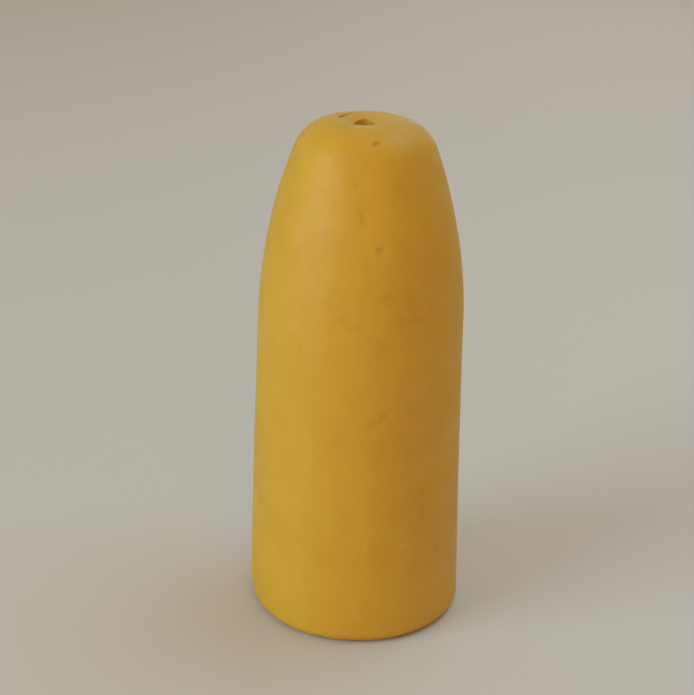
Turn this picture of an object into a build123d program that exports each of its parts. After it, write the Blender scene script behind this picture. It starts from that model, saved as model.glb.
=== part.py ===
from build123d import *
from math import radians, tan
import os

# A bullet-shaped fishing float: one closed-cell foam moulding with a rope hole right through it.
# It stands on its flat foot. The origin is the foot's centre, and +Z points up to the nose.
# All sizes are in millimetres and degrees.

# Overall size
base_d = 152.0
length = 356.0

# Drum: the long lower part, which draws in a little towards the nose
drum_h = 220.0
draft = 1.34
foot_edge_r = 7.5

# Nose: one long arc that leaves the drum without a crease, then a round shoulder and a flat tip
tip_d = 80.0
shoulder_r = 28.0

# Rope hole along the axis, with its edge at the foot bevelled
bore_d = 14.0
bore_bevel = 1.5

# Mouth: the shallow dish where the rope hole opens in the flat tip
mouth_d = 30.0
mouth_depth = 2.0
throat_r = 1.5

base_r = base_d / 2
drum_top_r = base_r - drum_h * tan(radians(draft))
tip_r = tip_d / 2
bore_r = bore_d / 2
mouth_r = mouth_d / 2
throat_z = length - mouth_depth

# Half of the float's section in the XZ plane, as sharp corners first
foot_corner = (base_r, 0)
tip_corner = (tip_r, length)
mouth_corner = (mouth_r, length)
throat_corner = (bore_r, throat_z)
bore_corner = (bore_r, 0)

# Each corner that the mould rounds, with its radius
roundings = (
    (foot_corner, foot_edge_r),
    (tip_corner, shoulder_r),
    (throat_corner, throat_r),
)

with BuildPart() as float_body:
    with BuildSketch(Plane.XZ) as section:
        with BuildLine() as outline:
            foot = Line(bore_corner, foot_corner)
            drum = Line(foot_corner, (drum_top_r, drum_h))
            nose = TangentArc(drum @ 1, tip_corner, tangent=drum % 1)
            tip = Line(tip_corner, mouth_corner)
            mouth = Line(mouth_corner, throat_corner)
            bore = Line(throat_corner, bore_corner)
        make_face()
        for corner, radius in roundings:
            fillet(section.vertices().sort_by_distance(corner)[0], radius)
        chamfer(section.vertices().sort_by_distance(bore_corner)[0], bore_bevel)
    revolve(axis=Axis.Z)

float_body.part.label = "float_body"

os.makedirs("parts", exist_ok=True)
export_step(float_body.part, "parts/float_body.step")
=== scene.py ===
# %% [markdown]
# A fishing float is a plain thing: one block of closed-cell foam with a rope hole through it.
# So its look rests on three things: a true outline, the wear of years at sea, and a foam skin
# that is neither glossy nor quite dull. The camera and the light come first, and after them this
# lesson takes the three in that order.

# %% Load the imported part
from math import atan2, cos, degrees, pi, radians, sin, sqrt, tan
from random import Random

import bmesh
import bpy
from mathutils import Matrix, Vector, noise
from mathutils.bvhtree import BVHTree
from mathutils.kdtree import KDTree


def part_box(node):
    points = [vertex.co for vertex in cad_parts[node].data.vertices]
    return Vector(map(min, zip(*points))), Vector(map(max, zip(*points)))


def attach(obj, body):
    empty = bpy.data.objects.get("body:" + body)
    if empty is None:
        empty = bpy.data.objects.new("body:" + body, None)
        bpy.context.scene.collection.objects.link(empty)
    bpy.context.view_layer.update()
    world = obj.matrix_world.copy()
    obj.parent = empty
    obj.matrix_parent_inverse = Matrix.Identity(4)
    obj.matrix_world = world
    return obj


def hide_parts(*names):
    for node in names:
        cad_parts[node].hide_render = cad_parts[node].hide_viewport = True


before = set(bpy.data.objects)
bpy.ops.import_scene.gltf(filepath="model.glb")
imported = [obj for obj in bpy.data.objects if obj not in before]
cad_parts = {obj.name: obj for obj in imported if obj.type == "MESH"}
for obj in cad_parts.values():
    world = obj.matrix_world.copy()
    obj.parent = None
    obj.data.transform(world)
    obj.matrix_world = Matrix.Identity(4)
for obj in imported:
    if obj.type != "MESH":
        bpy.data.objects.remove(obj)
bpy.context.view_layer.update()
low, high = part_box("float_body")
length = high.z - low.z
print("The float is", round(length, 4), "m tall and", round(high.x - low.x, 4), "m across")

# %% [markdown]
# The camera comes first, because the marks on the float are placed by looking through it.
# It could be turned by hand until the picture looks right. Here its place, its tilt, its slight
# roll and its lens are named values, found by laying the float's outline on the photograph's.
# With them a ray can be worked out through any pixel.

# %% Set up the camera
mm = 0.001
camera_spot = Vector((-0.0088, -1.0350, 0.6155))
camera_tilt = radians(22.19)
camera_roll = radians(1.59)
sensor = 0.036
lens = 0.0830

camera_data = bpy.data.cameras.new("camera")
camera_data.sensor_width = sensor / mm
camera_data.lens = lens / mm
camera = bpy.data.objects.new("camera", camera_data)
bpy.context.scene.collection.objects.link(camera)
turned = Matrix.Rotation(pi / 2 - camera_tilt, 4, "X") @ Matrix.Rotation(camera_roll, 4, "Z")
camera.matrix_world = Matrix.Translation(camera_spot) @ turned
bpy.context.scene.camera = camera
bpy.context.scene.view_settings.view_transform = "Standard"
print("The camera stands", round(camera_spot.length, 3), "m from the foot")

# %% [markdown]
# The floor is one large pale sheet. The camera looks down on it, so that it fills the picture.
# A curved backdrop could do that in a low view too, but it would shut out the light of the air.
# The floor keeps the float's shadow, which tells the eye that the float stands.

# %% Lay the floor
floor_size = 12.0
floor_colour = (0.59, 0.65, 0.72, 1)
floor_roughness = 0.7

floor_mesh = bpy.data.meshes.new("floor")
floor_bm = bmesh.new()
bmesh.ops.create_grid(floor_bm, x_segments=1, y_segments=1, size=floor_size / 2)
floor_bm.to_mesh(floor_mesh)
floor_bm.free()
floor = bpy.data.objects.new("floor", floor_mesh)
bpy.context.scene.collection.objects.link(floor)

floor_paint = bpy.data.materials.new("pale floor")
floor_paint.use_nodes = True
floor_shader = floor_paint.node_tree.nodes["Principled BSDF"]
floor_shader.inputs["Base Color"].default_value = floor_colour
floor_shader.inputs["Roughness"].default_value = floor_roughness
floor_mesh.materials.append(floor_paint)
print("The floor is", floor_size, "m square")

# %% [markdown]
# In the photograph cool daylight comes from the left, and the rest of the light is weaker and
# mostly warmer. One lamp could do it, but then the right half would turn black. So a large key
# lamp on the left, a warm one in front and faint ones behind and above share the work. They are
# large because a small lamp would burn a hard spot into the satin skin of a round body.

# %% Hang the lamps
# name, spot, size in metres, watts, colour
lamps = (
    ("key", (-3.60, -2.05, 1.50), 2.7, 101, (0.84, 1.0, 0.92)),
    ("front", (0.3, -2.6, 1.2), 1.5, 12.5, (1.0, 0.36, 0.12)),
    ("back", (0.8, 2.4, 1.3), 2.0, 6.5, (0.9, 0.88, 0.76)),
    ("top", (0.9, 0.4, 1.95), 1.5, 9.3, (0.66, 1.0, 1.0)),
)
middle_of_float = Vector((0, 0, length / 2))

for name, spot, size, watts, colour in lamps:
    lamp = bpy.data.lights.new(name, "AREA")
    lamp.size = size
    lamp.energy = watts
    lamp.color = colour
    lamp_object = bpy.data.objects.new(name, lamp)
    aim = (middle_of_float - Vector(spot)).to_track_quat("-Z", "Y")
    lamp_object.matrix_world = Matrix.Translation(spot) @ aim.to_matrix().to_4x4()
    bpy.context.scene.collection.objects.link(lamp_object)
    print(name, "lamp at", spot)

# %% [markdown]
# The air gives soft light from all sides. It is warm, and a warm sky would look brown behind the
# float in a low view. So the rays that the eye follows, straight or by way of a sheen, meet a
# plain pale air instead, while the foam is lit by the warm one.

# %% Fill the air with soft light
air_colour, air_strength = (1.0, 0.67, 0.43, 1), 0.48
pale_colour = (0.50, 0.48, 0.45, 1)

air = bpy.data.worlds.new("soft air")
bpy.context.scene.world = air
air.use_nodes = True
air_nodes = air.node_tree.nodes
link_air = air.node_tree.links.new
warm_air = air_nodes["Background"]
warm_air.inputs["Color"].default_value = air_colour
warm_air.inputs["Strength"].default_value = air_strength
pale_air = air_nodes.new("ShaderNodeBackground")
pale_air.inputs["Color"].default_value = pale_colour

rays = air_nodes.new("ShaderNodeLightPath")
followed = rays.outputs["Is Camera Ray"]
for kind in ("Is Glossy Ray", "Is Transmission Ray"):
    either = air_nodes.new("ShaderNodeMath")
    either.operation = "MAXIMUM"
    link_air(followed, either.inputs[0])
    link_air(rays.outputs[kind], either.inputs[1])
    followed = either.outputs["Value"]

both_airs = air_nodes.new("ShaderNodeMixShader")
link_air(followed, both_airs.inputs["Fac"])
link_air(warm_air.outputs["Background"], both_airs.inputs[1])
link_air(pale_air.outputs["Background"], both_airs.inputs[2])
link_air(both_airs.outputs["Shader"], air_nodes["World Output"].inputs["Surface"])
print("The air has", len(air_nodes), "nodes")

# %% [markdown]
# The float is round about its axis, so half of its section holds its whole shape. That section
# could be a list of points. It is drawn here with a pen that knows only two moves: run straight
# ahead, or bend left round an arc. Each arc starts in the direction in which the last piece
# ended, so the outline can't have a crease where two pieces meet, as the mould has none.

# %% Name the sizes of the section
base_r = 76.0 * mm
drum_h = 220.0 * mm
draft = radians(1.34)
foot_edge_r = 7.5 * mm
tip_r = 40.0 * mm
shoulder_r = 28.0 * mm
bore_r = 7.0 * mm
bore_edge_r = 1.5 * mm
worn_bore = 14 * mm
mouth_r = 15.0 * mm
mouth_depth = 0.9 * mm
mouth_edge_r = 3.0 * mm
throat_r = 1.2 * mm
drum_top_r = base_r - drum_h * tan(draft)
print("The drum draws in to", round(drum_top_r / mm, 1), "mm at its top")

# %% Work out the nose arc and the shoulder that rounds it off
chord = Vector((tip_r - drum_top_r, length - drum_h))
chord_lean = atan2(-chord.x, chord.y)
nose_r = chord.length / 2 / sin(chord_lean - draft)
nose_centre = Vector((drum_top_r - nose_r * cos(draft), drum_h - nose_r * sin(draft)))
shoulder_z = length - shoulder_r
reach = sqrt((nose_r - shoulder_r) ** 2 - (shoulder_z - nose_centre.y) ** 2)
shoulder_x = nose_centre.x + reach
nose_turn = atan2(shoulder_z - nose_centre.y, reach) - draft
print("The nose arc has a radius of", round(nose_r / mm), "mm")

# %% Work out what the arcs at the foot and the mouth take of the straight stretches beside them
foot_turn = pi / 2 + draft
foot_cut = foot_edge_r * tan(foot_turn / 2)
mouth_slope = atan2(mouth_depth, mouth_r - bore_r)
rim_cut = mouth_edge_r * tan(mouth_slope / 2)
throat_turn = pi / 2 - mouth_slope
throat_cut = throat_r * tan(throat_turn / 2)
dish = sqrt(mouth_depth ** 2 + (mouth_r - bore_r) ** 2)
print("The foot's arc takes", round(foot_cut / mm, 2), "mm of the drum")

# %% Make the pen and its two moves
section = bmesh.new()
foot_start = Vector((bore_r + bore_edge_r, 0, 0))
pen = {"vert": section.verts.new(foot_start), "heading": 0.0}


def run(distance, steps):
    """Draws a straight stretch ahead of the pen, in equal steps."""
    ahead = Vector((cos(pen["heading"]), 0, sin(pen["heading"])))
    for _ in range(steps):
        made = bmesh.ops.extrude_vert_indiv(section, verts=[pen["vert"]])
        pen["vert"] = made["verts"][0]
        bmesh.ops.translate(section, verts=[pen["vert"]], vec=ahead * distance / steps)


def bend(radius, turn, steps):
    """Draws an arc to the left that leaves the last stretch without a crease."""
    left = Vector((-sin(pen["heading"]), 0, cos(pen["heading"])))
    centre = pen["vert"].co + left * radius
    made = bmesh.ops.spin(
        section, geom=[pen["vert"]], cent=centre, axis=(0, -1, 0), angle=turn, steps=steps
    )
    pen["vert"] = [v for v in made["geom_last"] if isinstance(v, bmesh.types.BMVert)][0]
    pen["heading"] += turn


print("The pen starts", round(foot_start.x / mm, 1), "mm from the axis")

# %% Draw the foot, the drum, the nose, the mouth and the rope hole
run(base_r - foot_cut - foot_start.x, steps=14)
bend(foot_edge_r, foot_turn, steps=12)
run(drum_h / cos(draft) - foot_cut, steps=104)
bend(nose_r, nose_turn, steps=84)
bend(shoulder_r, pi / 2 - draft - nose_turn, steps=36)
run(shoulder_x - mouth_r - rim_cut, steps=8)
bend(mouth_edge_r, mouth_slope, steps=4)
run(dish - rim_cut - throat_cut, steps=14)
bend(throat_r, throat_turn, steps=6)
run(worn_bore, steps=14)
run(length - mouth_depth - throat_cut - worn_bore - bore_edge_r, steps=40)
bend(bore_edge_r, pi / 2, steps=4)
gap = (pen["vert"].co - foot_start).length
print("The pen ends", round(gap / mm, 6), "mm from where it began")

# %% Spin the section into the whole moulding
spokes = 256
weld = 0.01 * mm
bmesh.ops.remove_doubles(section, verts=section.verts, dist=weld)
bmesh.ops.spin(
    section, geom=section.verts[:] + section.edges[:], cent=(0, 0, 0), axis=(0, 0, 1),
    angle=2 * pi, steps=spokes, use_merge=True,
)
bmesh.ops.remove_doubles(section, verts=section.verts, dist=weld)
bmesh.ops.recalc_face_normals(section, faces=section.faces)
for face in section.faces:
    face.smooth = True
print("The moulding has", len(section.verts), "points and", len(section.faces), "faces")

# %% [markdown]
# A moulding that has been knocked about is never quite true. A displacement texture could bend
# it, but then the dents would sit anywhere. Here each point gets its own small moves and its own
# dirt, added up in lists before anything moves, so the spots that matter stay in our hands.

# %% List the points of the skin
section.normal_update()
section.verts.ensure_lookup_table()
tree = BVHTree.FromBMesh(section)
normals = [v.normal.copy() for v in section.verts]
places = [v.co.copy() for v in section.verts]

# the moves out along the normal, down and to the left, the dirt with painted shade, and the
# paleness with painted light
shift, sink, drift, grime_and_painted_shade, paleness_and_painted_light = ([0.0] * len(places) for _ in range(5))
print("The skin has", len(places), "points to move")

# %% Wave the skin a little
slow_wave, slow_height = 55 * mm, 0.30 * mm
fine_wave, fine_height = 14 * mm, 0.10 * mm


def waves(place, wavelength, offset=0.0):
    """Smooth noise between about -1 and 1, with bumps about one wavelength apart."""
    return noise.noise(place / wavelength + Vector((offset, 0, 0)))


for i, place in enumerate(places):
    shift[i] += slow_height * waves(place, slow_wave) + fine_height * waves(place, fine_wave, 7.3)
print("The foam waves by up to", round(max(shift) / mm, 2), "mm")

# %% [markdown]
# The rope has worn the mouth. It has pulled mostly to the front and the left, so the lip is
# rounded down there, and the end of the hole has been dragged to the left. A flake has torn off
# behind on the left, and its step is darkened with painted shade. A cut with a boolean would
# leave hard edges, but foam wears in soft lobes. So each lobe has a direction, a spread and a
# depth, and the points of the tip sink by the sum of the lobes.

# %% Find the points that the rope reaches
drag_reach = 45 * mm
tip_reach = 24 * mm


def smooth(value, start, end):
    """0 before start, 1 past end, and a soft step between them."""
    t = min(1.0, max(0.0, (value - start) / (end - start)))
    return t * t * (3 - 2 * t)


def off_axis(place):
    """The distance of a place from the axis of the float."""
    return sqrt(place.x ** 2 + place.y ** 2)


def round_axis(place):
    """The direction of a place from the axis, in degrees from +X."""
    return degrees(atan2(place.y, place.x))


tip_points = [
    i for i, place in enumerate(places)
    if length - place.z <= drag_reach and off_axis(place) <= tip_reach
]
worn_points = [i for i in tip_points if length - places[i].z <= worn_bore]
print("The rope reaches", len(tip_points), "points and has worn", len(worn_points))

# %% Drag the end of the hole aside
hole_drag = 1.3 * mm
drag_fade = bore_r, 20 * mm
for i in tip_points:
    drift[i] = hole_drag * (1 - smooth(length - places[i].z, 0, drag_reach))
    drift[i] *= 1 - smooth(off_axis(places[i]), *drag_fade)
print("The end of the hole moves by", round(max(drift) / mm, 2), "mm")

# %% Sink the lip in lobes
# direction in degrees from +X, half spread in degrees, depth mm, outer radius mm
rope_lobes = ((-95, 75, 2.3, 16.0), (180, 80, 1.6, 18.0), (10, 55, 1.7, 11.5))
torn_height, torn_wave = 0.35 * mm, 5 * mm
torn_fade = 14 * mm, 22 * mm


def turn_between(a, b):
    """The angle between two directions, in degrees, without its sign."""
    return abs((a - b + 180) % 360 - 180)


for i in worn_points:
    place = places[i]
    from_axis = off_axis(place)
    in_bore = from_axis < bore_r + throat_r
    upper = 1 - smooth(length - place.z, 2 * mm, worn_bore) if in_bore else 1
    for facing, spread, deep, outer in rope_lobes:
        sector = 1 - smooth(turn_between(round_axis(place), facing), 0.2 * spread, spread)
        ragged = outer * mm * (1 + 0.12 * waves(place, torn_wave, 1.7))
        sink[i] += deep * mm * sector * upper * (1 - smooth(from_axis, bore_r, ragged))
    torn = torn_height * waves(place, torn_wave, 9.1) * upper
    shift[i] += torn * (1 - smooth(from_axis, *torn_fade))
print("The rope has worn the lip down by", round(max(sink) / mm, 2), "mm")

# %% Tear off the flake behind on the left
# the flake's two ends in degrees from +X, each as a soft step
flake_start, flake_end = (100, 150), (160, 174)
flake_depth = 1.3 * mm
flake_floor, flake_step = (bore_r, 13 * mm), (19.0 * mm, 19.9 * mm)
step_shade_inside = flake_step[0] - 0.5 * mm, flake_step[0]
step_shade_outside = flake_step[1] - 0.2 * mm, flake_step[1] + 0.3 * mm
# painted shade: how dark the flake's step is painted
flake_step_shade = 0.6
# painted light: how much lighter the throat of the rope hole is painted
throat_painted_light = 0.2
throat_fade = bore_r + 0.3 * mm, bore_r + 2 * mm
for i in worn_points:
    place = places[i]
    from_axis = off_axis(place)
    sector = smooth(round_axis(place), *flake_start) * (1 - smooth(round_axis(place), *flake_end))
    inside = smooth(from_axis, *flake_floor) * (1 - smooth(from_axis, *flake_step))
    sink[i] += flake_depth * sector * inside
    # the step of the flake is darkened with painted shade
    on_step = smooth(from_axis, *step_shade_inside) * (1 - smooth(from_axis, *step_shade_outside))
    grime_and_painted_shade[i] = flake_step_shade * sector * on_step * (0.75 + 0.5 * waves(place, 4 * mm, 6.6))
    # the throat of the rope hole is lightened with painted light
    paleness_and_painted_light[i] = throat_painted_light * (1 - smooth(from_axis, *throat_fade))
print("With the flake, the lip has sunk by", round(max(sink) / mm, 2), "mm")

# %% [markdown]
# The marks that the photograph shows are placed by its pixels. A ray goes from the camera
# through the pixel, and where it meets the skin, the mark gets its middle and its direction.
# Each mark is an oval dent with a soft edge, and it also says how dirty or pale the foam is there.

# %% List the marks that the photograph shows
# name: pixel, length mm, width mm, turn in degrees, depth mm, grime, paleness
marks = {
    "gouge under the tip": ((376.6, 143.6), 7.5, 3.8, 32, 1.1, 0.32, 0.0),
    "nick on the left shoulder": ((304.5, 134.0), 4.0, 3.0, 60, 0.6, 0.3, 0.0),
    "spot on the nose": ((356.5, 185.5), 5.5, 5.0, 0, 0.2, 0.09, 0.0),
    "scuff down the nose": ((362.5, 217.5), 11.0, 4.0, -70, 0.4, 0.13, 0.0),
    "tail of that scuff": ((364.5, 223.5), 6.0, 5.0, 20, 0.3, 0.12, 0.0),
    "pit in the nose": ((380.8, 250.6), 6.5, 6.0, 0, 0.6, 0.18, 0.0),
    "soft spot below the pit": ((367.0, 267.0), 9.0, 12.0, 0, 0.1, 0.07, 0.0),
    "soft spot on the right": ((385.5, 300.5), 13.0, 8.0, 15, 0.1, 0.07, 0.0),
    "smudge, middle": ((344.0, 320.0), 16.0, 10.0, 10, 0.1, 0.08, 0.0),
    "smudge, middle, lower": ((354.5, 327.5), 16.0, 9.0, -15, 0.1, 0.08, 0.0),
    "smudge, right": ((404.5, 323.5), 20.0, 10.0, -12, 0.1, 0.08, 0.0),
    "smudge, far right": ((419.0, 321.5), 8.0, 7.0, 30, 0.1, 0.09, 0.0),
    "scrape, lower end": ((370.0, 427.5), 11.0, 7.0, 15, 0.3, 0.12, 0.0),
    "scrape, upper end": ((384.0, 418.5), 17.0, 5.4, 36, 0.4, 0.11, 0.0),
    "shade beyond the scrape": ((410.0, 407.0), 12.0, 18.0, 0, 0.1, 0.07, 0.0),
    "dark spot on the left edge": ((256.0, 451.0), 6.0, 5.0, 0, 0.4, 0.3, 0.0),
    "pale chafe on the left": ((292.0, 326.0), 22.0, 8.0, 0, 0.0, 0.0, 0.12),
    "pale spot, low left": ((363.5, 548.0), 5.0, 5.0, 0, 0.1, 0.0, 0.25),
    "pale spot, low right": ((403.0, 545.5), 5.5, 6.0, 0, 0.1, 0.0, 0.35),
    "pale spot, right": ((388.0, 302.0), 4.0, 4.0, 0, 0.1, 0.0, 0.2),
}
print("The photograph shows", len(marks), "marks")

# %% Press one oval mark into the skin
ragged_wave, ragged_share = 1.6 * mm, 0.35
mark_fade, mark_reach = (0.25, 1.2), 1.5
nearby = KDTree(len(places))
for i, place in enumerate(places):
    nearby.insert(place, i)
nearby.balance()


def press(middle, facing, along, sizes, depth, dirt, pale):
    """Adds one oval mark round a point of the skin, with a soft edge."""
    across = facing.cross(along)
    half_long, half_wide = sizes[0] / 2, sizes[1] / 2
    for place, i, _ in nearby.find_range(middle, mark_reach * max(half_long, half_wide)):
        away = place - middle
        ragged = 1 + ragged_share * waves(place, ragged_wave, 3.1)
        spread = ((away.dot(along) / half_long) ** 2 + (away.dot(across) / half_wide) ** 2) * ragged
        fall = 1 - smooth(sqrt(spread), *mark_fade)
        shift[i] -= depth * fall
        grime_and_painted_shade[i] = max(grime_and_painted_shade[i], dirt * fall)
        paleness_and_painted_light[i] = max(paleness_and_painted_light[i], pale * fall)


print("A mark reaches out to at most", mark_reach, "times its own half size")

# %% Aim at each mark through its pixel
photo_width, photo_height = 694, 695
half_photo = max(photo_width, photo_height) / 2
right_of_picture = turned.to_3x3() @ Vector((1, 0, 0))


def ray_through(pixel):
    """The direction from the camera through a pixel of the photograph."""
    across = (pixel[0] - photo_width / 2) / half_photo * sensor / 2
    down = (pixel[1] - photo_height / 2) / half_photo * sensor / 2
    return (turned.to_3x3() @ Vector((across, -down, -lens))).normalized()


for name, (pixel, long_mm, wide_mm, turn, depth_mm, dirt, pale) in marks.items():
    middle, facing, _, _ = tree.ray_cast(camera_spot, ray_through(pixel))
    if middle is None:
        print(name, "misses the float")
        continue
    level = (right_of_picture - facing * right_of_picture.dot(facing)).normalized()
    along = Matrix.Rotation(radians(turn), 3, facing) @ level
    press(middle, facing, along, (long_mm * mm, wide_mm * mm), depth_mm * mm, dirt, pale)
print("The skin is now dented by up to", round(-min(shift) / mm, 2), "mm")

# %% [markdown]
# The photograph shows only the front. The sides and the back have led the same life, so they get
# marks of the same kinds, spread by a seeded generator. The seed makes every run the same. On the
# front these marks stay faint, because there the photograph has already said what is to be seen.

# %% Scatter small dings over the rest of the skin
chance = Random(11)
ding_count = 80
ding_depth = 0.7 * mm
front, front_half_angle = -90, 80
for _ in range(ding_count):
    heading = chance.uniform(0, 360)
    height = chance.uniform(0.05, 0.97) * length
    outside = Vector((cos(radians(heading)), sin(radians(heading)), 0)) * 2 * base_r
    start = outside + Vector((0, 0, height))
    middle, facing, _, _ = tree.ray_cast(start, -outside.normalized())
    along = facing.cross(Vector((chance.uniform(-1, 1), chance.uniform(-1, 1), 0.3))).normalized()
    in_view = turn_between(heading, front) < front_half_angle
    long_mm = chance.uniform(2, 5) if in_view else chance.uniform(3, 14)
    wide_mm = long_mm * chance.uniform(0.3, 0.8)
    strength = 0.12 if in_view else chance.uniform(0.12, 0.45)
    pale = chance.uniform(0, 0.5) * strength if chance.random() < 0.4 else 0.0
    dirt = 0.0 if pale else 0.6 * strength
    press(middle, facing, along, (long_mm * mm, wide_mm * mm), ding_depth * strength, dirt, pale)
print("Scattered", ding_count, "dings")

# %% [markdown]
# A float is set down on its foot and dragged about, so its lower edge is chafed, most of all on
# the left, where the photograph shows it worn round. There the foot also stands a millimetre
# aside. A bevel would make the same edge all round, so here the points near the foot sink by
# noise and by one wide lobe, and the lower drum moves over with a soft start.

# %% Chafe the edge of the foot
near_foot_z, near_foot_r = (0, 20 * mm), (55 * mm, 66 * mm)
chafe_depth, chafe_wave = 0.35 * mm, 9 * mm
foot_wear_facing, foot_wear_spread, foot_wear_depth = -168, 55, 2.0 * mm
foot_aside, foot_aside_reach = 1.0 * mm, 110 * mm
for i, place in enumerate(places):
    near_foot = (1 - smooth(place.z, *near_foot_z)) * smooth(off_axis(place), *near_foot_r)
    shift[i] -= chafe_depth * near_foot * max(0.0, waves(place, chafe_wave, 4.4))
    off_wear = turn_between(round_axis(place), foot_wear_facing)
    shift[i] -= foot_wear_depth * near_foot * (1 - smooth(off_wear, 0, foot_wear_spread))
    drift[i] -= foot_aside * (1 - smooth(place.z, 0, foot_aside_reach))
print("The foot stands", round(foot_aside / mm, 1), "mm aside")

# %% [markdown]
# Along the lowest edge and under the foot the foam is darkened, partly as dirt and partly as
# painted contact shade, and deeper in the rope hole, below the worn stretch at its end, it is
# darkened with painted shade. A dark ring from the material alone would follow the height too
# evenly, so each point gets its own amount, broken up by noise.

# %% Darken the foot with dirt and painted contact shade, and the rope hole with painted shade
dirt_and_shade_line = 2.2 * mm
foot_dirt_and_shade, bore_painted_shade = 0.55, 0.3
for i, place in enumerate(places):
    from_axis = off_axis(place)
    patchy = min(1, max(0, 0.6 + 0.8 * waves(place, 12 * mm, 2.2)))
    # dirt together with painted contact shade along the lowest edge and under the foot
    low_dirt_and_shade = 1 - smooth(place.z, 0.2 * dirt_and_shade_line, 2.4 * dirt_and_shade_line)
    foot_dirt_and_contact_shade = foot_dirt_and_shade * low_dirt_and_shade * patchy * smooth(from_axis, bore_r, 60 * mm)
    # painted shade deeper inside the rope hole
    in_bore = 1 - smooth(from_axis, bore_r + 0.2 * mm, 14 * mm)
    in_bore *= smooth(place.z, length / 2, length)
    in_bore *= 1 - smooth(place.z, length - 2 * worn_bore, length - worn_bore)
    blotchy = min(1, max(0, 0.8 + waves(place, 6 * mm, 5.5)))
    grime_and_painted_shade[i] = max(grime_and_painted_shade[i], foot_dirt_and_contact_shade, bore_painted_shade * in_bore * blotchy)
# below this height the darkening is dirt with painted contact shade, and in the rope hole painted
# shade
print("Dirt stays below", round(2.4 * dirt_and_shade_line / mm, 1), "mm and in the rope hole")

# %% Move the points and make the moulding an object
for vert, facing, distance, aside, drop in zip(section.verts, normals, shift, drift, sink):
    vert.co += facing * distance - Vector((aside, 0, drop))
    vert.co.z = min(length, max(0, vert.co.z))
skin_mesh = bpy.data.meshes.new("foam_moulding")
section.to_mesh(skin_mesh)
section.free()
for attribute, values in (("grime_and_painted_shade", grime_and_painted_shade), ("paleness_and_painted_light", paleness_and_painted_light)):
    skin_mesh.attributes.new(attribute, "FLOAT", "POINT").data.foreach_set("value", values)
skin = bpy.data.objects.new("foam_moulding", skin_mesh)
bpy.context.scene.collection.objects.link(skin)
print("The moulding has", sum(len(p.vertices) - 2 for p in skin_mesh.polygons), "triangles")

# %% [markdown]
# Foam of this kind is coloured right through and comes out of the mould with a thin skin. So its
# colour is one pigment that sun and salt have shifted a little here and there, not a paint. An
# image could carry that, but noise in object space needs no seams and shows no repeat, and it is
# in the same place from every side. The marks bring their own dirt through the two attributes,
# which also carry painted shade at the foot, on the flake's step and in the rope hole, and painted
# light in the hole's throat.

# %% Build the foam material from a few small helpers
foam = bpy.data.materials.new("weathered foam")
foam.use_nodes = True
foam_nodes = foam.node_tree.nodes
link_foam = foam.node_tree.links.new
shader = foam_nodes["Principled BSDF"]
where = foam_nodes.new("ShaderNodeTexCoord").outputs["Object"]


def spots(size, detail, stretch=(1, 1, 1)):
    """Noise in object space whose spots are about one size across."""
    placed = foam_nodes.new("ShaderNodeMapping")
    placed.inputs["Scale"].default_value = stretch
    link_foam(where, placed.inputs["Vector"])
    pattern = foam_nodes.new("ShaderNodeTexNoise")
    pattern.inputs["Scale"].default_value = 1 / size
    pattern.inputs["Detail"].default_value = detail
    link_foam(placed.outputs["Vector"], pattern.inputs["Vector"])
    return pattern.outputs["Fac"]


def fade(value, start, end, at_start, at_end):
    """Maps a value between start and end softly to two other values."""
    ramp = foam_nodes.new("ShaderNodeMapRange")
    ramp.interpolation_type = "SMOOTHSTEP"
    link_foam(value, ramp.inputs["Value"])
    ramp.inputs["From Min"].default_value = start
    ramp.inputs["From Max"].default_value = end
    ramp.inputs["To Min"].default_value = at_start
    ramp.inputs["To Max"].default_value = at_end
    return ramp.outputs["Result"]


def blend(amount, base, over):
    """Lays one colour over another by an amount from 0 to 1."""
    mix = foam_nodes.new("ShaderNodeMix")
    mix.data_type = "RGBA"
    link_foam(amount, mix.inputs["Factor"])
    for colour, socket in ((base, mix.inputs["A"]), (over, mix.inputs["B"])):
        if isinstance(colour, tuple):
            socket.default_value = (*colour, 1)
        else:
            link_foam(colour, socket)
    return mix.outputs["Result"]


def left_by_marks(attribute):
    """Reads one of the two attributes of dirt with painted shade and paleness with painted light.
    """
    reader = foam_nodes.new("ShaderNodeAttribute")
    reader.attribute_name = attribute
    return reader.outputs["Fac"]


print("The foam reads", where.name, "coordinates")

# %% Colour the foam
mustard = (0.565, 0.345, 0.018)
sunned = (0.60, 0.385, 0.026)
deep = (0.52, 0.29, 0.012)
chafed = (0.66, 0.48, 0.14)
# the colour of dirt, used also for painted shade
dirt_and_shade_colour = (0.17, 0.09, 0.012)
even, streaked = (1, 1, 1), (1, 1, 0.12)

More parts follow.
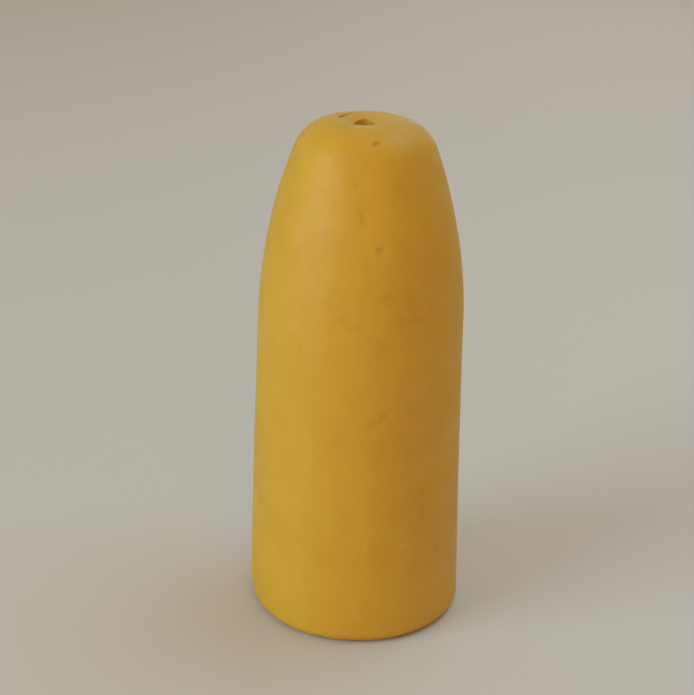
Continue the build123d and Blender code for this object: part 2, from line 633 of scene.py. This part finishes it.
# size of the spots, detail, stretch, where they start and are full, strength, colour laid over
stains = (
    (60 * mm, 3, even, 0.35, 0.65, 0.55, sunned),
    (22 * mm, 4, even, 0.45, 0.75, 0.40, deep),
    (9 * mm, 5, streaked, 0.50, 0.80, 0.25, deep),
    (2.5 * mm, 2, even, 0.50, 0.80, 0.25, sunned),
    (1.3 * mm, 1, even, 0.70, 0.80, 0.12, dirt_and_shade_colour),
)
foam_colour = mustard
for size, detail, stretch, start, full, strength, over in stains:
    amount = fade(spots(size, detail, stretch), start, full, 0, strength)
    foam_colour = blend(amount, foam_colour, over)
# paleness with painted light, then dirt with painted shade, from the two attributes
foam_colour = blend(left_by_marks("paleness_and_painted_light"), foam_colour, chafed)
foam_colour = blend(left_by_marks("grime_and_painted_shade"), foam_colour, dirt_and_shade_colour)
link_foam(foam_colour, shader.inputs["Base Color"])
print("The foam has", len(stains), "layers of stains")

# %% [markdown]
# The skin of the foam is satin: a broad sheen with no sharp glint, broken by closed pores and by
# the unevenness of the mould. Pores cut into the mesh would need millions of faces, so they and
# two small swells are bump. The dents, the wear and the slow waves stay in the mesh.

# %% Give the skin its pores and its satin
pore_size = 1.1 * mm
satin, dull = 0.46, 0.58
link_foam(fade(spots(14 * mm, 4), 0.3, 0.7, satin, dull), shader.inputs["Roughness"])

cells = foam_nodes.new("ShaderNodeTexVoronoi")
cells.inputs["Scale"].default_value = 1 / pore_size
link_foam(where, cells.inputs["Vector"])
pores = fade(cells.outputs["Distance"], 0.0, 0.6, 0, 1)

# height, strength, distance
swells = (
    (pores, 0.12, 0.12 * mm),
    (spots(3.5 * mm, 3), 0.25, 0.5 * mm),
    (spots(16 * mm, 2), 0.3, 1.2 * mm),
)
bumps = None
for height, strength, distance in swells:
    bump = foam_nodes.new("ShaderNodeBump")
    bump.inputs["Strength"].default_value = strength
    bump.inputs["Distance"].default_value = distance
    link_foam(height, bump.inputs["Height"])
    if bumps:
        link_foam(bumps, bump.inputs["Normal"])
    bumps = bump.outputs["Normal"]
link_foam(bumps, shader.inputs["Normal"])
skin_mesh.materials.append(foam)
print("The foam has", len(foam_nodes), "nodes")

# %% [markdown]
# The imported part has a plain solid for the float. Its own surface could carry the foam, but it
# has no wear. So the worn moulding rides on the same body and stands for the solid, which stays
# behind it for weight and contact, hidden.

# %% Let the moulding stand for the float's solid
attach(skin, "root")
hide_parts("float_body")
print(skin.name, "stands for float_body")
